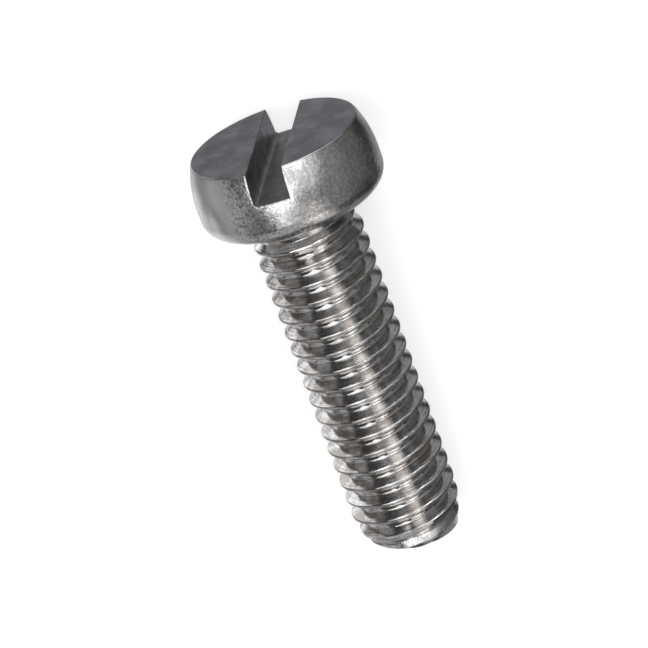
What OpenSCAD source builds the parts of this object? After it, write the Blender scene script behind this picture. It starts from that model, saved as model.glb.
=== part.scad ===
// Slotted cheese-head machine screw, M6 by 20, lying on its side.
// It is drawn upright: height 0 is the bearing face, the head is above it and the shank below.
// It is then laid down until it touches the ground under the head and near the point.
// All sizes are in millimetres.

/* [Head] */
// Diameter of the head at its belly
head_d = 9.8; // [9:0.1:13]
// Height of the head above its bearing face
head_h = 3.9; // [3.4:0.1:6]
// How far the barrel side draws in, from the belly to the rim
barrel_draw = 0.48; // [0.1:0.02:0.9]
// Height of the straight belly band
belly_band = 0.6; // [0.2:0.1:1.2]
// Radius of the rounding between the belly and the bearing face
head_round = 1; // [0.4:0.1:1.2]
// Width of the bevel that breaks the top rim
rim_break = 0.08; // [0.02:0.02:0.3]

/* [Slot] */
// Width of the driver slot
slot_w = 1.85; // [1.2:0.05:2.6]
// Depth of the driver slot
slot_depth = 1.6; // [1:0.1:2.4]
// Radius in the corners of the slot's floor
slot_corner = 0.18; // [0.05:0.01:0.4]

/* [Shank] */
// Length of the shank, from the bearing face to the end
shank_l = 19.5; // [12:0.5:40]
// Radius of the fillet under the head
fillet_r = 0.35; // [0.35:0.05:0.7]
// Length of the plain neck between the bearing face and the first rise of the ridge
neck_l = 0.15; // [0.05:0.05:3]

/* [Thread] */
// Outside diameter of the thread
thread_d = 5.8; // [5:0.1:6.2]
// Distance between one ridge and the next
pitch = 1; // [0.7:0.05:1.25]
// Length over which the ridge rises from the neck to its full height
runout_l = 1.85; // [0.6:0.05:3]
// Length of the rounded point
point_l = 2.4; // [1.5:0.1:4]
// How far the rounded point draws in at its end
point_draw = 0.55; // [0.3:0.05:0.8]
// Radius of the rounding at the edge of the end
end_round = 0.2; // [0.1:0.05:0.6]
// Turn of the thread about the axis, in degrees
thread_turn = 104; // [0:1:359]

/* [Hidden] */

// A fine step round every turned surface
$fn = 96;

head_r = head_d / 2;
rim_r = head_r - barrel_draw;
belly_top = head_round + belly_band;
barrel_h = head_h - belly_top;
// The barrel side is one arc, upright at the belly
barrel_r = (barrel_draw * barrel_draw + barrel_h * barrel_h) / (2 * barrel_draw);
slot_floor = head_h - slot_depth;

// The basic triangle of a 60 degree thread is 0.866 of its pitch high.
// Its ridge is cut back by an eighth of that and its root is filled by a quarter.
sharp_h = pitch * cos(30);
thread_h = sharp_h * 5 / 8;
thread_r = thread_d / 2;
root_r = thread_r - thread_h;
// The thread is rolled, so the neck has the blank's diameter, midway on the flanks
neck_r = thread_r - sharp_h * 3 / 8;
point_r = (point_draw * point_draw + point_l * point_l) / (2 * point_draw);
point_start = shank_l - point_l;
end_start = shank_l - end_round;
// The neck's own solid reaches just past the fillet, where the thread's strip takes over
collar_l = max(neck_l, fillet_r) + 0.05;

// One pitch of the thread as [share of the pitch below the ridge's middle, share of its height]
form = [[-0.085, 0.93], [0, 1], [0.085, 0.93], [0.385, 0.04], [0.5, 0], [0.615, 0.04]];
rows = len(form);
steps = 36;

// The thread's strip starts inside the head and runs on past the end, where it is cut off flat
strip_top = slot_floor / 2;
cut_margin = 0.5;
columns = ceil((strip_top + shank_l + cut_margin) / pitch) * steps;
// The collar ends on a step that the strip passes through, a hair inside it
step_in = 0.02;

// Across the ground: the tangent line to the head's rounding and to the point's arc
head_arc = [head_r - head_round, -head_round];
point_arc = [thread_r - point_r, point_start];
arc_gap = point_arc - head_arc;
lay_angle = atan2(-arc_gap[0], arc_gap[1]) - asin((point_r - head_round) / norm(arc_gap));
axis_h = head_arc[0] * cos(lay_angle) + head_arc[1] * sin(lay_angle) + head_round;

// The two ends of the box that the laid screw fills along X
slot_rim = sqrt(pow(rim_r - rim_break, 2) - pow(slot_w / 2, 2));
end_r = thread_r - point_draw - end_round;
box_back = -head_h * cos(lay_angle) - slot_rim * sin(lay_angle);
box_front = shank_l * cos(lay_angle) + end_r * sin(lay_angle);

// How far an arc of a radius has drawn in, at a distance past its start
function drawn_in(radius, past) = radius - sqrt(pow(radius, 2) - pow(max(0, past), 2));

// Radius limit at a depth below the bearing face: full on the shank, then the point's long arc
// and the small rounding at the edge of its end
function point_limit(depth) =
    let (within = min(depth, shank_l))
    thread_r - drawn_in(point_r, within - point_start) - drawn_in(end_round, within - end_start);

// How much of the thread has risen at a depth below the bearing face, from 0 to 1
function risen(depth) =
    let (share = min(1, max(0, (depth - neck_l) / runout_l)))
    share * share * (3 - 2 * share);

// Height of the thread's surface above the axis, for one row of the form at a depth
function strip_r(row, depth) =
    let (full_r = root_r + form[row][1] * thread_h)
    let (plain_r = neck_r - step_in)
    min(point_limit(depth), plain_r + risen(depth) * (full_r - plain_r));

// One point of the strip, on a right-hand helix that goes down the shank
function strip_point(column, row) =
    let (turn = column / steps)
    let (angle = thread_turn - 360 * turn)
    let (depth = (turn + form[row][0] - floor(strip_top / pitch)) * pitch)
    let (r = strip_r(row, depth))
    [r * cos(angle), r * sin(angle), -depth];

// Place of a point in the list. The row after the last is the first row, one turn on.
function place(column, row) =
    row == rows ? place(column + steps, 0)
    : column <= columns ? column * rows + row
    : (columns + 1) * rows + column - columns - 1;

module thread_strip() {
    body = [for (column = [0 : columns], row = [0 : rows - 1]) strip_point(column, row)];
    last_edge = [for (column = [columns + 1 : columns + steps]) strip_point(column, 0)];
    top_middle = [0, 0, strip_point(0, 0)[2]];
    end_middle = [0, 0, strip_point(columns + steps, 0)[2]];
    points = concat(body, last_edge, [top_middle, end_middle]);
    top = len(points) - 2;
    end = len(points) - 1;
    // Each quarter of the strip is two triangles, so that no face is warped
    upper = [for (column = [0 : columns - 1], row = [0 : rows - 1])
        [place(column, row), place(column + 1, row + 1), place(column + 1, row)]];
    lower = [for (column = [0 : columns - 1], row = [0 : rows - 1])
        [place(column, row), place(column, row + 1), place(column + 1, row + 1)]];
    top_fan = [for (column = [0 : steps - 1]) [top, place(column, 0), place(column + 1, 0)]];
    top_wall = [for (row = [0 : rows - 1]) [top, place(0, row + 1), place(0, row)]];
    end_fan = [for (column = [columns : columns + steps - 1])
        [end, place(column + 1, 0), place(column, 0)]];
    end_wall = [for (row = [0 : rows - 1]) [end, place(columns, row), place(columns, row + 1)]];
    polyhedron(points, concat(upper, lower, top_fan, top_wall, end_fan, end_wall), convexity = 10);
}

module threaded_shank() {
    difference() {
        thread_strip();
        translate([-head_d, -head_d, -shank_l - head_d])
            cube([2 * head_d, 2 * head_d, head_d]);
    }
}

// Half of the head's turned section: X is the distance from the axis and Y the height
module head_section() {
    intersection() {
        union() {
            intersection() {
                translate([head_r - barrel_r, belly_top]) circle(r = barrel_r);
                translate([0, belly_top]) square([head_r, barrel_h]);
            }
            translate([0, head_round]) square([head_r, belly_band]);
            intersection() {
                translate([head_r - head_round, head_round]) circle(r = head_round);
                translate([head_r - head_round, 0]) square(head_round);
            }
            square([head_r - head_round, head_round]);
        }
        // The rim's bevel, as a 45 degree line
        polygon([
            [0, 0],
            [head_r, 0],
            [head_r, head_h - rim_break - barrel_draw],
            [rim_r - rim_break, head_h],
            [0, head_h]
        ]);
    }
}

// Half of the neck's section, with the fillet that runs out into the bearing face
module neck_section() {
    translate([0, -collar_l]) square([neck_r, collar_l]);
    difference() {
        translate([0, -fillet_r]) square([neck_r + fillet_r, fillet_r]);
        translate([neck_r + fillet_r, -fillet_r]) circle(r = fillet_r);
    }
}

// The slot runs right across the head along X, with rounded corners at its floor
module driver_slot() {
    corner = min(slot_corner, slot_w / 2);
    rotate([90, 0, 90])
        linear_extrude(height = 2 * head_d, center = true)
            translate([-slot_w / 2, slot_floor]) {
                translate([0, corner]) square([slot_w, head_h]);
                translate([corner, 0]) square([slot_w - 2 * corner, head_h]);
                translate([corner, corner]) circle(r = corner);
                translate([slot_w - corner, corner]) circle(r = corner);
            }
}

module upright_screw() {
    difference() {
        // A quarter turn keeps the seam of the turning off the line that rests on the ground
        rotate([0, 0, 90]) rotate_extrude() head_section();
        driver_slot();
    }
    rotate_extrude() neck_section();
    threaded_shank();
}

module screw() {
    color("silver")
        translate([-(box_back + box_front) / 2, 0, axis_h])
            rotate([0, lay_angle - 90, 0])
                upright_screw();
}

screw();
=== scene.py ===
# %% [markdown]
# # A slotted machine screw, lying on a pale table
#
# The screw is one turned and rolled piece of bare steel: a barrel-shaped head with a driver slot,
# a short plain neck, and a thread that runs down to a rounded point.
# We draw the head as a half outline and spin it, cut the slot out of it, and wind the outline of one
# pitch of thread up the axis. The two shapes become one closed skin.
# All drawing is done upright and in millimetres, because that is how a drawing of a screw is read.
# At the end the screw is laid down and shrunk to metres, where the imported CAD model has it.

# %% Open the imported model
import math

import bmesh
import bpy
import numpy as np
from mathutils import Euler, Matrix, Vector


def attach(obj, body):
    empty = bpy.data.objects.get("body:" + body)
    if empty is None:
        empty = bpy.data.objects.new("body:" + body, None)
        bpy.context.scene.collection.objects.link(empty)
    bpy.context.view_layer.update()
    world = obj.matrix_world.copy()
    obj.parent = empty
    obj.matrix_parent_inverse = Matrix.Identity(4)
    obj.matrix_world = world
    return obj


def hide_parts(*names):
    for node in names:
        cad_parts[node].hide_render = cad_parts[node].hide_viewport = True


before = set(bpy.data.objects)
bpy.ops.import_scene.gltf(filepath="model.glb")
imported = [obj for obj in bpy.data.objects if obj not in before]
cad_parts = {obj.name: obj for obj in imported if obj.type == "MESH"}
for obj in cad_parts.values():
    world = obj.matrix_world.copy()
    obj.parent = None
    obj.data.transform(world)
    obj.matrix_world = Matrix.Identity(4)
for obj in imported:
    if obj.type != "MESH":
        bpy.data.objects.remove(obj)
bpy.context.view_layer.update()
bpy.ops.object.select_all(action="DESELECT")
print("CAD nodes:", sorted(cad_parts))

# %% [markdown]
# The sizes are those of an M6 by 20 slotted cheese head, as the CAD model has them.
# Height 0 is the bearing face under the head. The head is above it and the shank below, so every
# depth along the shank is a negative height. The last lines say how finely the shapes are drawn.

# %% Sizes in millimetres
HEAD_R, HEAD_H = 4.9, 3.9
BARREL_DRAW = 0.48
BELLY_TOP, HEAD_ROUND, RIM_BREAK = 1.6, 1.0, 0.08
RIM_R = HEAD_R - BARREL_DRAW
SLOT_W, SLOT_DEPTH, SLOT_CORNER = 1.85, 1.6, 0.18
FILLET_R, NECK_L = 0.35, 0.15
COLLAR_L = max(NECK_L, FILLET_R) + 0.05
SHANK_L, THREAD_R, PITCH = 19.5, 2.9, 1.0
SHARP_H = PITCH * math.cos(math.radians(30))
ROOT_R = THREAD_R - SHARP_H * 5 / 8
NECK_R = THREAD_R - SHARP_H * 3 / 8
RUNOUT_L, POINT_L, POINT_DRAW, END_ROUND = 1.85, 2.4, 0.55, 0.2
END_SLOPE = np.array([-0.04, 0.105])
THREAD_TURN = 104.0
EDGE_BREAK, CREST_ROUND, ROOT_ROUND = 0.07, 0.045, 0.05
NECK_STEP_IN, INTO_HEAD = 0.02, 0.6
HEAD_STEPS, THREAD_STEPS = 108, 96
WELD_GAP = 0.0005
MM = 0.001
print(f"root radius {ROOT_R:.3f} mm, neck radius {NECK_R:.3f} mm")

# %% [markdown]
# An outline is drawn as by hand: one loose point is put down, pulled along straight lines with
# Extrude, and swept round arcs with Spin. Both leave the newest point selected, so that the next
# stroke goes on from there.

# %% Tools for drawing an outline
def new_outline(name, x, z):
    bpy.ops.object.select_all(action="DESELECT")
    bpy.ops.mesh.primitive_plane_add(size=1, enter_editmode=True)
    outline = bpy.context.object
    outline.name = name
    bpy.ops.mesh.merge(type="CENTER")
    bpy.ops.transform.translate(value=(x, 0, z))
    return outline


def newest_point():
    mesh = bmesh.from_edit_mesh(bpy.context.object.data)
    return next(v.co.copy() for v in mesh.verts if v.select)


def line_to(x, z):
    here = newest_point()
    step = (x - here.x, 0, z - here.z)
    bpy.ops.mesh.extrude_region_move(TRANSFORM_OT_translate={"value": step})


def arc_round(x, z, degrees, steps):
    bpy.ops.mesh.spin(
        steps=steps, angle=-math.radians(degrees), center=(x, 0, z), axis=(0, 1, 0)
    )


def round_points(obj, radius_at, offset, segments):
    mesh = bmesh.from_edit_mesh(obj.data)
    for vert in mesh.verts:
        vert.select_set(abs(vert.co.x - radius_at) < 1e-4 and len(vert.link_edges) == 2)
    mesh.select_flush_mode()
    bmesh.update_edit_mesh(obj.data)
    bpy.ops.mesh.bevel(offset=offset, segments=segments, affect="VERTICES")


print("outline tools ready")

# %% [markdown]
# The head's outline runs from the middle of the top, over the sharp rim, down the barrel side, round
# the belly, in along the bearing face and down the fillet to the neck. A lathe turns the real one,
# and Spin turns ours: the half outline goes once round the upright axis.

# %% Draw the head's half outline
barrel_h = HEAD_H - BELLY_TOP
barrel_r = (BARREL_DRAW**2 + barrel_h**2) / (2 * BARREL_DRAW)
barrel_sweep = math.degrees(math.asin(barrel_h / barrel_r))
head = new_outline("machine_screw", 0, HEAD_H)
line_to(RIM_R, HEAD_H)
arc_round(HEAD_R - barrel_r, BELLY_TOP, barrel_sweep, 12)
line_to(HEAD_R, HEAD_ROUND)
arc_round(HEAD_R - HEAD_ROUND, HEAD_ROUND, 90, 12)
line_to(NECK_R + FILLET_R, 0)
arc_round(NECK_R + FILLET_R, -FILLET_R, -90, 6)
line_to(NECK_R, -COLLAR_L)
line_to(0, -COLLAR_L)
round_points(head, RIM_R, RIM_BREAK, 4)
print("head outline points:", len(bmesh.from_edit_mesh(head.data).verts))

# %% [markdown]
# Spin leaves double points where the turn closes and on the axis, so they are merged. Then the
# wedges that make up each flat face are dissolved into one, because a flat face needs no more.

# %% Turn the outline into the head
def clean_skin():
    bpy.ops.mesh.select_all(action="SELECT")
    bpy.ops.mesh.remove_doubles(threshold=WELD_GAP)
    bpy.ops.mesh.normals_make_consistent(inside=False)


bpy.ops.mesh.select_all(action="SELECT")
bpy.ops.mesh.spin(steps=HEAD_STEPS, angle=math.tau, center=(0, 0, 0), axis=(0, 0, 1))
clean_skin()
bpy.ops.mesh.dissolve_limited(angle_limit=math.radians(0.2), use_dissolve_boundaries=False)
bpy.ops.object.mode_set(mode="OBJECT")
print("head faces:", len(head.data.polygons))

# %% [markdown]
# The slot is milled or pressed right across the head, with small round corners along its floor.
# A block of the slot's width, with its two lower edges bevelled, is cut out by a Boolean.

# %% Cut the driver slot
def choose_edges(obj, wanted):
    mesh = bmesh.from_edit_mesh(obj.data)
    for edge in mesh.edges:
        edge.select_set(wanted(edge))
    mesh.select_flush_mode()
    bmesh.update_edit_mesh(obj.data)


def take_up(obj):
    bpy.ops.object.select_all(action="DESELECT")
    bpy.context.view_layer.objects.active = obj
    obj.select_set(True)


def apply_modifier(obj, kind, **settings):
    take_up(obj)
    modifier = obj.modifiers.new(kind.title(), kind)
    for name, value in settings.items():
        setattr(modifier, name, value)
    bpy.ops.object.modifier_apply(modifier=modifier.name)
    return obj


slot_floor = HEAD_H - SLOT_DEPTH
bpy.ops.mesh.primitive_cube_add(
    size=1,
    location=(0, 0, slot_floor + HEAD_H / 2),
    scale=(4 * HEAD_R, SLOT_W, HEAD_H),
    enter_editmode=True,
)
cutter = bpy.context.object
bpy.ops.mesh.select_all(action="DESELECT")
choose_edges(
    cutter,
    lambda e: all(v.co.z < 0 for v in e.verts) and abs(e.verts[0].co.x - e.verts[1].co.x) > 0.5,
)
bpy.ops.object.mode_set(mode="OBJECT")
bpy.ops.object.transform_apply(location=True, rotation=True, scale=True)
bpy.ops.object.mode_set(mode="EDIT")
bpy.ops.mesh.bevel(offset=SLOT_CORNER, segments=4, profile=0.5)
bpy.ops.object.mode_set(mode="OBJECT")
apply_modifier(head, "BOOLEAN", operation="DIFFERENCE", solver="EXACT", object=cutter)
bpy.data.objects.remove(cutter)
print("head faces after the cut:", len(head.data.polygons))

# %% [markdown]
# No real edge is perfectly sharp. A narrow bevel on each hard edge catches a thin line of light,
# which is what shows the slot's outline in the photograph.

# %% Break the sharp edges
apply_modifier(
    head,
    "BEVEL",
    width=EDGE_BREAK,
    segments=3,
    limit_method="ANGLE",
    angle_limit=math.radians(30),
    use_clamp_overlap=False,
)
print("head faces after the bevel:", len(head.data.polygons))

# %% [markdown]
# The thread starts as the outline of one pitch: half a root, a flank, the narrow crest, a flank and
# half a root, with its corners rounded by a vertex bevel. THREAD_TURN is the angle at which a crest
# passes the height of the bearing face, and it says how high the lowest outline starts.

# %% Draw one pitch of the thread
crest_z = -THREAD_TURN / 360 % 1 * PITCH
turns = math.ceil(SHANK_L / PITCH) + 2
start_z = crest_z - PITCH / 2 - (turns - 1) * PITCH
thread = new_outline("thread", ROOT_R, start_z)
line_to(ROOT_R, start_z + PITCH / 8)
line_to(THREAD_R, start_z + PITCH * 7 / 16)
line_to(THREAD_R, start_z + PITCH * 9 / 16)
line_to(ROOT_R, start_z + PITCH * 7 / 8)
line_to(ROOT_R, start_z + PITCH)
round_points(thread, THREAD_R, CREST_ROUND, 3)
round_points(thread, ROOT_R, ROOT_ROUND, 3)
print("pitch outline points:", len(bmesh.from_edit_mesh(thread.data).verts))
bpy.ops.object.mode_set(mode="OBJECT")

# %% [markdown]
# The Screw modifier carries the outline round the axis while it climbs one pitch a turn. Each turn
# ends where the next begins, so the double points between them are merged.

# %% Wind it up the shank
apply_modifier(
    thread,
    "SCREW",
    axis="Z",
    angle=math.tau,
    screw_offset=PITCH,
    steps=THREAD_STEPS,
    render_steps=THREAD_STEPS,
    iterations=turns,
    use_merge_vertices=False,
    use_smooth_shade=True,
)
bpy.ops.object.mode_set(mode="EDIT")
bpy.ops.mesh.select_all(action="SELECT")
bpy.ops.mesh.remove_doubles(threshold=WELD_GAP)
bpy.ops.object.mode_set(mode="OBJECT")
print("thread faces:", len(thread.data.polygons))

# %% [markdown]
# A die rolls the real thread, and it lets the ridge rise over a turn or so below the neck. At the
# other end the blank was rounded off first, so the ridge sinks into the point. Both are a rule on
# the distance from the axis at each depth, which is quicker to state in code than to sculpt.

# %% Run the thread out at both ends
POINT_R = (POINT_DRAW**2 + POINT_L**2) / (2 * POINT_DRAW)


def drawn_in(arc_r, past):
    return arc_r - np.sqrt(arc_r**2 - np.clip(past, 0, None) ** 2)


def allowed_radius(radius, depth, to_end):
    rise = np.clip((depth - NECK_L) / RUNOUT_L, 0, 1)
    rise = rise * rise * (3 - 2 * rise)
    plain = NECK_R - NECK_STEP_IN
    radius = plain + rise * (radius - plain)
    limit = THREAD_R - drawn_in(POINT_R, np.minimum(depth, SHANK_L) - (SHANK_L - POINT_L))
    return np.minimum(radius, limit - drawn_in(END_ROUND, END_ROUND - np.maximum(to_end, 0)))


points = np.empty(len(thread.data.vertices) * 3)
thread.data.vertices.foreach_get("co", points)
points = points.reshape(-1, 3)
radius = np.hypot(points[:, 0], points[:, 1])
depth = -points[:, 2]
to_end = SHANK_L + points[:, :2] @ END_SLOPE - depth
limited = allowed_radius(radius, depth, to_end)
points[:, :2] *= (limited / radius)[:, None]
thread.data.vertices.foreach_set("co", points.ravel())
thread.data.update()
print("smallest and largest radius:", limited.min(), limited.max())

# %% [markdown]
# The winding is longer than the shank at both ends. The lower cut makes the flat end, which isn't
# quite square in the photograph. The upper cut lies inside the head, where the union hides it.

# %% Cut the thread to length
def cut_flat(obj, height, keep_above, slope=(0, 0)):
    take_up(obj)
    bpy.ops.object.mode_set(mode="EDIT")
    bpy.ops.mesh.select_all(action="SELECT")
    bpy.ops.mesh.bisect(
        plane_co=(0, 0, height),
        plane_no=(slope[0], slope[1], 1),
        use_fill=True,
        clear_inner=keep_above,
        clear_outer=not keep_above,
    )
    bpy.ops.object.mode_set(mode="OBJECT")


cut_flat(thread, -SHANK_L, True, END_SLOPE)
cut_flat(thread, INTO_HEAD, False)
bpy.ops.object.mode_set(mode="EDIT")
clean_skin()
bpy.ops.object.mode_set(mode="OBJECT")
print("thread faces:", len(thread.data.polygons))

# %% [markdown]
# Head and thread are one piece of steel, so a union makes one closed skin of them. Where two faces
# crossed at a very flat angle it can leave slivers with no area, and these are dissolved.

# %% Join head and thread
screw = apply_modifier(head, "BOOLEAN", operation="UNION", solver="EXACT", object=thread)
bpy.data.objects.remove(thread)
bpy.ops.object.mode_set(mode="EDIT")
clean_skin()
bpy.ops.mesh.dissolve_degenerate(threshold=WELD_GAP)
bpy.ops.object.mode_set(mode="OBJECT")
skin = bmesh.new()
skin.from_mesh(screw.data)
open_edges = sum(1 for e in skin.edges if not e.is_manifold)
print("faces:", len(skin.faces), "open edges:", open_edges, "volume mm3:", skin.calc_volume())
skin.free()

# %% [markdown]
# Turned faces look round when they are shaded smooth. An edge of more than 40 degrees stays sharp,
# and weighted normals let the large flat faces look flat right up to their narrow bevels.

# %% Shade it smooth, with the flat faces kept flat
take_up(screw)
bpy.ops.object.shade_smooth_by_angle(angle=math.radians(40))
apply_modifier(screw, "WEIGHTED_NORMAL", mode="FACE_AREA", weight=50, keep_sharp=True)
print("sharp edges kept:", sum(e.use_edge_sharp for e in screw.data.edges))

# %% [markdown]
# A screw on a table comes to rest on its head and on the end of its thread, so its axis dips a few
# degrees. The CAD model works that angle out from the two arcs that touch the table.

# %% Lay the screw down
head_arc = Vector((HEAD_R - HEAD_ROUND, -HEAD_ROUND))
point_arc = Vector((THREAD_R - POINT_R, SHANK_L - POINT_L))
between = point_arc - head_arc
lay = math.atan2(-between.x, between.y) - math.asin((POINT_R - HEAD_ROUND) / between.length)
axis_h = head_arc.x * math.cos(lay) + head_arc.y * math.sin(lay) + HEAD_ROUND
slot_rim = math.sqrt((RIM_R - RIM_BREAK) ** 2 - (SLOT_W / 2) ** 2)
back = -HEAD_H * math.cos(lay) - slot_rim * math.sin(lay)
end_r = THREAD_R - POINT_DRAW - END_ROUND
front = SHANK_L * math.cos(lay) + end_r * math.sin(lay)
middle_x = -(back + front) / 2
screw_turn = (0, lay - math.pi / 2, 0)
screw_size = (MM, MM, MM)
screw_place = (middle_x * MM, 0, axis_h * MM)
screw.rotation_euler = screw_turn
screw.scale = screw_size
screw.location = screw_place
bpy.ops.object.transform_apply(location=True, rotation=True, scale=True)
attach(screw, "root")
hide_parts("screw")
print(f"laid at {math.degrees(lay):.2f} degrees, axis {axis_h:.3f} mm high")

# %% [markdown]
# Steel has no colour of its own: what we see is the room, dimmed and blurred by the finish. So the
# four finishes of this screw differ in how dark, how rough and how grainy they are. The barrel was
# headed and left with a sandy grain. The top is flatter and greyer, the slot is dark inside, and
# the rolling dies left the thread bright, with fine lines that run along its flanks.
#
# Each finish is a small sum of noise patterns, and sums read best as plain arithmetic. So one
# small class wraps a socket of the node tree, and the signs of Python add the Math nodes.

# %% A socket that does arithmetic
class Wire:
    def __init__(self, tree, socket):
        self.tree, self.socket = tree, socket

    def node(self, kind, settings, values, output=0):
        made = self.tree.nodes.new("ShaderNode" + kind)
        for name, value in settings.items():
            setattr(made, name, value)
        for name, value in values.items():
            if isinstance(value, Wire):
                self.tree.links.new(value.socket, made.inputs[name])
            else:
                made.inputs[name].default_value = value
        return Wire(self.tree, made.outputs[output])

    def math(self, operation, a, b):
        return self.node("Math", {"operation": operation}, {0: a, 1: b})

    def __add__(self, other):
        return self.math("ADD", self, other)

    def __sub__(self, other):
        return self.math("SUBTRACT", self, other)

    def __rsub__(self, other):
        return self.math("SUBTRACT", other, self)

    def __mul__(self, other):
        return self.math("MULTIPLY", self, other)

    __radd__, __rmul__ = __add__, __mul__

    def fade(self, start, end):
        return self.node(
            "MapRange",
            {"interpolation_type": "SMOOTHSTEP"},
            {"Value": self, "From Min": start, "From Max": end},
        )

    def distance_to(self, place):
        return self.node("VectorMath", {"operation": "DISTANCE"}, {0: self, 1: place}, 1)

    def part(self, number):
        return self.node("SeparateXYZ", {}, {"Vector": self}, number)

    def noise(self, scale, detail, roughness=0.5):
        values = {"Vector": self, "Scale": scale, "Detail": detail, "Roughness": roughness}
        return self.node("TexNoise", {}, values)

    def tint(self, low, high):
        return self.node("Mix", {"data_type": "RGBA"}, {0: self, 6: (*low, 1), 7: (*high, 1)}, 2)


print("sockets can be added, taken away and multiplied")

# %% [markdown]
# The patterns are drawn in the same upright millimetres as the shape. A Mapping node undoes the
# laying down, so that z is again the height above the bearing face, whichever way the screw lies.

# %% A blank finish, with upright millimetres
def new_finish(name, roughness):
    finish = bpy.data.materials.new(name)
    finish.use_nodes = True
    tree = finish.node_tree
    shader = tree.nodes["Principled BSDF"]
    shader.inputs["Metallic"].default_value = 1
    shader.inputs["Roughness"].default_value = roughness
    where = Wire(tree, tree.nodes.new("ShaderNodeTexCoord").outputs["Object"])
    where = where.node(
        "Mapping",
        {"vector_type": "TEXTURE"},
        {"Vector": where, "Location": screw_place, "Rotation": screw_turn, "Scale": screw_size},
    )
    return finish, shader, where


def plug(shader, **wires):
    for name, wire in wires.items():
        socket = shader.inputs[name.replace("_", " ")]
        wire.tree.links.new(wire.socket, socket)


def bump(height, microns):
    return height.node("Bump", {}, {"Height": height, "Strength": 1, "Distance": microns * 1e-6})


print("finishes are drawn in the screw's own millimetres")

# %% [markdown]
# The barrel's grain is a fifth of a millimetre across. Where a bright lamp and a dark wall meet in
# the reflection, each grain tips the mirror one way or the other, and that gives the sandy glitter
# beside the slot. The grain is worn smooth on the side that the photograph has on the left. Small
# dark pits lie beside the mouth of the slot. The colour is painted darker along the right-hand edge
# and under the belly there, as painted shade, and two dark spots are added to it.

# %% The headed barrel
DARK_SPOTS = ((0.8, 4.4, 3.6), (2.5, 4.2, 0.8))
barrel, shader, where = new_finish("headed_steel", 0.27)
sideways, height = where.part(1), where.part(2)
grainy = sideways.fade(-3.2, -1.8)
sand = where.noise(5.6, 3, 0.62)
by_the_slot = sideways.fade(-2.9, -1.7) * sideways.fade(0.6, -0.6)
pits = where.noise(5.5, 1).fade(0.50, 0.62) * by_the_slot
stain = where.noise(0.55, 3).fade(0.42, 0.66)
# Painted shade: the colour darkens under the belly on the right-hand side and along the right-hand
# edge. Two dark spots are added to the same mask.
painted_shade_under_belly = height.fade(0.55, 0.15) * sideways.fade(0.5, 2.5)
dark_spots_and_painted_shade = sideways.fade(4.1, 4.8) + painted_shade_under_belly
for spot in DARK_SPOTS:
    dark_spots_and_painted_shade = dark_spots_and_painted_shade + where.distance_to(spot).fade(0.9, 0.3) * sand.fade(0.38, 0.52)
shade = stain * 0.2 + sand.fade(0.60, 0.42) * grainy * 0.4 + pits * 0.7 + dark_spots_and_painted_shade * 0.6
grey = shade.tint((0.80, 0.80, 0.81), (0.30, 0.30, 0.31))
grain = bump(sand * (0.2 + 0.8 * grainy) - pits * 0.3, 13)
plug(shader, Base_Color=grey, Normal=grain, Roughness=0.24 + stain * 0.06)

# %% [markdown]
# The top mirrors one even part of the room, so it is a plain grey with soft smudges, as handling
# leaves them, and a few paler specks.

# %% The flat top
top_steel, shader, where = new_finish("flat_top_steel", 0.36)
smudge = where.noise(0.8, 4, 0.65).fade(0.38, 0.66)
specks = where.noise(4.5, 1).fade(0.72, 0.80)
grey = (smudge * 0.8 + specks).tint((0.46, 0.455, 0.48), (0.74, 0.715, 0.78))
relief = bump(where.noise(6, 3) + specks, 1.5)
plug(shader, Base_Color=grey, Normal=relief, Roughness=0.28 + smudge * 0.1)

# %% [markdown]
# The slot's walls see mostly each other, so its colour is painted dark, as painted shade. The
# colour is paler along its floor.

# %% The slot, painted dark for shade
slot_painted_shade, shader, where = new_finish("slot_painted_shade", 0.4)
smudge = where.noise(1.3, 4, 0.6).fade(0.3, 0.7)
# Painted shade: the slot's base colour is dark, and paler towards its floor.
grey = smudge * 0.4 + where.part(2).fade(slot_floor + 0.35, slot_floor + 0.1) * 0.6
grey = grey.tint((0.16, 0.16, 0.16), (0.60, 0.60, 0.61))
plug(shader, Base_Color=grey, Normal=bump(where.noise(6, 3), 1))

# %% [markdown]
# A die slides along the flanks as it rolls the thread, and leaves lines that follow the ridge. The
# distance from the axis is the same all along a flank line, so a noise that changes fast with that
# distance, and slowly with the place, draws them with no seam. Brown patches are painted in as a
# dark reflection, strongest on one side. Small flecks are painted paler, as painted glints, and
# tip the mirror a little. The end was cropped, so it is sandy again.

# %% The rolled thread
rolled, shader, where = new_finish("rolled_steel", 0.15)
across_z = where.node("VectorMath", {"operation": "MULTIPLY"}, {0: where, 1: (1, 1, 0)})
off_axis = where.node("VectorMath", {"operation": "LENGTH"}, {0: across_z}, 1)
slow = where.node("VectorMath", {"operation": "MULTIPLY"}, {0: where, 1: (0.6, 0.6, 0.6)})
fast = where.node("CombineXYZ", {}, {"X": off_axis * 11})
lines = where.node("VectorMath", {"operation": "ADD"}, {0: slow, 1: fast}).noise(1, 3, 0.6)
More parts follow.
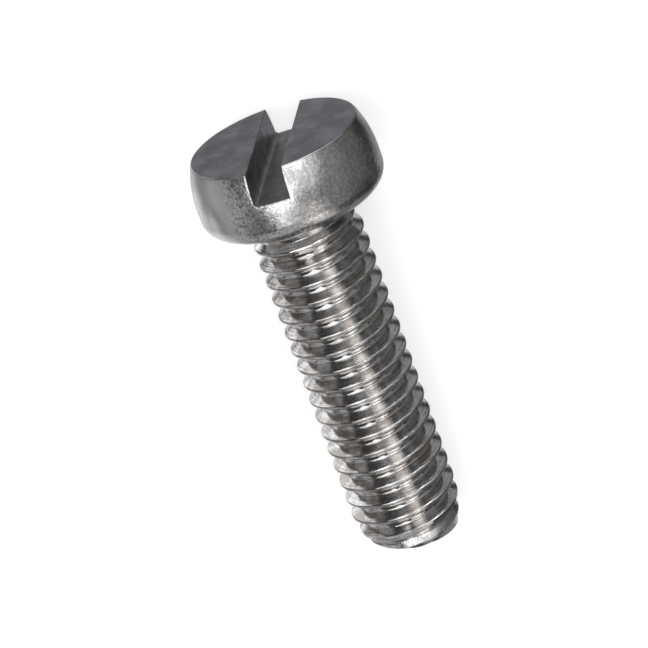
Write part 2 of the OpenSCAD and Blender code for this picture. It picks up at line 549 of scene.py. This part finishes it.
# Painted reflection: dark brown patches, strongest on one side. Painted glints: paler flecks on the
# other side.
painted_brown_patches = where.noise(1.1, 4, 0.6).fade(0.42, 0.62)
painted_dark_side = where.part(1).fade(-0.3, -1.5)
flecks_and_painted_glints = where.noise(4.5, 2, 0.6).fade(0.54, 0.64) * (1 - painted_dark_side)
shade = painted_brown_patches * (0.3 + 0.7 * painted_dark_side) + lines.fade(0.56, 0.43) * 0.5 - flecks_and_painted_glints * 0.45
grey = shade.tint((0.78, 0.78, 0.78), (0.45, 0.415, 0.40))
tip = where.part(2).fade(-17.9, -18.9)
relief = bump(lines * 1.7 + flecks_and_painted_glints * 0.35 + where.noise(7, 2, 0.6) * tip * 3, 2.6)
plug(shader, Base_Color=grey, Normal=relief, Roughness=0.12 + painted_brown_patches * 0.05 + tip * 0.1)

# %% [markdown]
# One skin has all four finishes, so each face is told which it has by its place: the top and the
# slot by their height and direction, the thread by being below the bearing face.

# %% Give each face its finish
FINISHES = (barrel, top_steel, slot_painted_shade, rolled)
ON_BARREL, ON_TOP, IN_SLOT, ON_THREAD = range(len(FINISHES))
SLACK, SHANK_BELOW, FACES_UP = 0.01, -0.05, 0.4
screw.data.materials.clear()
for finish in FINISHES:
    screw.data.materials.append(finish)
lying = (Vector(screw_place), Euler(screw_turn).to_quaternion(), Vector(screw_size))
to_upright = Matrix.LocRotScale(*lying).inverted()
turn_back = to_upright.to_3x3().normalized()
for face in screw.data.polygons:
    middle = to_upright @ face.center
    facing = turn_back @ face.normal
    in_slot = abs(middle.y) < SLOT_W / 2 + SLACK and middle.z > slot_floor - SLACK
    if middle.z < SHANK_BELOW:
        face.material_index = ON_THREAD
    elif in_slot:
        face.material_index = IN_SLOT
    elif facing.z > FACES_UP and middle.z > HEAD_H - RIM_BREAK:
        face.material_index = ON_TOP
    else:
        face.material_index = ON_BARREL
used = [face.material_index for face in screw.data.polygons]
counts = [used.count(index) for index in range(len(FINISHES))]
print("faces of barrel, top, slot and thread:", counts)

# %% [markdown]
# The floor is a sheet of pale paper. It glows a little by itself, so that the photograph's white
# ground comes out white and only a faint shadow is left under the screw. The steel doesn't mirror
# it, because in the photograph it mirrors a darker room.

# %% Floor
PAPER_GLOW = 0.55
bpy.ops.object.select_all(action="DESELECT")
bpy.ops.mesh.primitive_plane_add(size=2)
floor = bpy.context.object
floor.name = "floor"
paper = bpy.data.materials.new("pale_paper")
paper.use_nodes = True
shader = paper.node_tree.nodes["Principled BSDF"]
shader.inputs["Base Color"].default_value = (0.85, 0.85, 0.85, 1)
shader.inputs["Roughness"].default_value = 1
shader.inputs["Emission Color"].default_value = (1, 1, 1, 1)
shader.inputs["Emission Strength"].default_value = PAPER_GLOW
floor.data.materials.append(paper)
floor.visible_glossy = False
floor.visible_shadow = False
print("floor", tuple(floor.dimensions))

# %% [markdown]
# The camera stands where the photographer's did, above the screw and a little to one side. A
# program found its place by fitting the screw's outline to the photograph's: the three angles turn
# the view from straight along the slot, and the scale and the distance are in pixels of a picture
# 648 wide.

# %% Camera
PICTURE = 648
PIXELS_PER_MM, PIXELS_AWAY = 19.784, 3770
TOP_RIGHT_OF_MIDDLE, TOP_BELOW_MIDDLE = -51.22, -186.88
swing, tilt, roll = (math.radians(angle) for angle in (20.10, 22.62, 14.26))
axis_down = Vector((math.cos(lay), 0, -math.sin(lay)))
slot_away = Vector((-math.sin(lay), 0, -math.cos(lay)))
across = Vector((0, 1, 0))
side = math.cos(roll) * across + math.sin(roll) * slot_away
away = -math.sin(roll) * across + math.cos(roll) * slot_away
forward = math.sin(tilt) * axis_down + math.cos(tilt) * away
level = math.cos(tilt) * axis_down - math.sin(tilt) * away
right = math.sin(swing) * level + math.cos(swing) * side
down = math.cos(swing) * level - math.sin(swing) * side
head_top = Vector((middle_x, 0, axis_h)) - HEAD_H * axis_down
from_eye = TOP_RIGHT_OF_MIDDLE * right + TOP_BELOW_MIDDLE * down + PIXELS_AWAY * forward
eye = head_top - from_eye / PIXELS_PER_MM
bpy.ops.object.camera_add()
camera = bpy.context.object
camera.matrix_world = (
    Matrix.Translation(eye * MM) @ Matrix((right, -down, -forward)).transposed().to_4x4()
)
camera.data.sensor_width = 36
camera.data.lens = camera.data.sensor_width * PIXELS_AWAY / PICTURE
camera.data.clip_start = 0.001
bpy.context.scene.camera = camera
bpy.context.scene.view_settings.view_transform = "Standard"
print("camera at", [round(c, 4) for c in camera.location])

# %% [markdown]
# A photographer lights bare steel by what it mirrors: large soft boxes, with dark gaps between
# them. Each box here is given as seen from the screw: how far it stands from the camera's
# direction, on which side (0 is the picture's right, 90 is down), half its width and height as
# a share of its distance, its turn and its brightness, where 1 is white. Dim boxes also stand
# behind the screw and below the floor, which lets them through, and light its far side and edges.
#
# These rows weren't chosen by hand. A program compared mirrored boxes with the photograph's light
# and dark areas. It found the directions, sizes and turns of all but rim_strip, and the brightness
# and tint of all. A script rounded them, and the tints to three. To light another object, start
# instead from a few boxes, and move them until the reflections look right.

# %% Light
PANEL_FAR, ROOM_GLOW = 0.45, 0.055
WHITE, WARM, COOL = (1, 1, 1), (1, 0.96, 0.9), (0.95, 0.97, 1)
PANELS = [
    ("upper_left_box", 62, 252, 0.20, 0.40, 5, 3.3, COOL),
    ("low_front_box", 30, 108, 0.35, 0.30, 5, 1.8, WHITE),
    ("wide_low_box", 102, 104, 1.35, 0.35, 40, 0.41, WHITE),
    ("front_left_strip", 28, 166, 0.40, 0.08, -30, 4, WARM),
    ("beside_camera_box", 18, 348, 0.35, 0.40, 10, 0.76, WHITE),
    ("behind_box", 180, 286, 0.60, 0.80, 65, 0.42, COOL),
    ("behind_right_strip", 160, 50, 1.15, 0.30, 25, 0.19, COOL),
    ("behind_left_box", 134, 166, 0.35, 0.80, 50, 0.19, WHITE),
    ("low_right_box", 76, 50, 0.50, 0.20, 10, 0.66, WARM),
    ("small_lamp", 14, 294, 0.08, 0.15, -30, 5.8, WHITE),
    ("left_wall_box", 88, 152, 0.50, 0.40, 75, 0.31, WHITE),
    ("rear_left_strip", 120, 212, 0.60, 0.08, -5, 1.1, WHITE),
    ("right_dim_box", 56, 350, 0.60, 0.30, 75, 0.17, WHITE),
    ("warm_low_box", 54, 56, 0.20, 0.20, 0, 0.76, WARM),
    ("right_wall_box", 96, 338, 0.50, 0.45, 70, 0.078, WARM),
    ("upper_strip", 96, 280, 0.55, 0.10, 20, 0.23, WHITE),
    ("rear_top_box", 146, 248, 0.40, 0.40, 45, 0.12, COOL),
    ("rim_strip", 72, 286, 0.30, 0.15, 80, 0.83, WARM),
]
target = Vector((0, 0, 0.004))
for name, from_camera, toward, half_w, half_h, twist, bright, tint in PANELS:
    from_camera, toward, twist = (math.radians(a) for a in (from_camera, toward, twist))
    rim = math.cos(toward) * right + math.sin(toward) * down
    to_panel = math.sin(from_camera) * rim - math.cos(from_camera) * forward
    outward = math.cos(from_camera) * rim + math.sin(from_camera) * forward
    round_about = math.cos(toward) * down - math.sin(toward) * right
    width_way = math.cos(twist) * outward + math.sin(twist) * round_about
    height_way = to_panel.cross(width_way)
    bpy.ops.object.light_add(type="AREA")
    panel = bpy.context.object
    panel.name = name
    panel.data.shape = "RECTANGLE"
    panel.data.size, panel.data.size_y = 2 * half_w * PANEL_FAR, 2 * half_h * PANEL_FAR
    panel.data.energy = bright * math.pi * panel.data.size * panel.data.size_y
    panel.data.color = tint
    facing = Matrix((width_way, height_way, to_panel)).transposed().to_4x4()
    panel.matrix_world = Matrix.Translation(target + to_panel * PANEL_FAR) @ facing
world = bpy.data.worlds.new("dim_room")
bpy.context.scene.world = world
world.use_nodes = True
world.node_tree.nodes["Background"].inputs["Color"].default_value = (1, 1, 1, 1)
world.node_tree.nodes["Background"].inputs["Strength"].default_value = ROOM_GLOW
print("soft boxes:", len(PANELS))
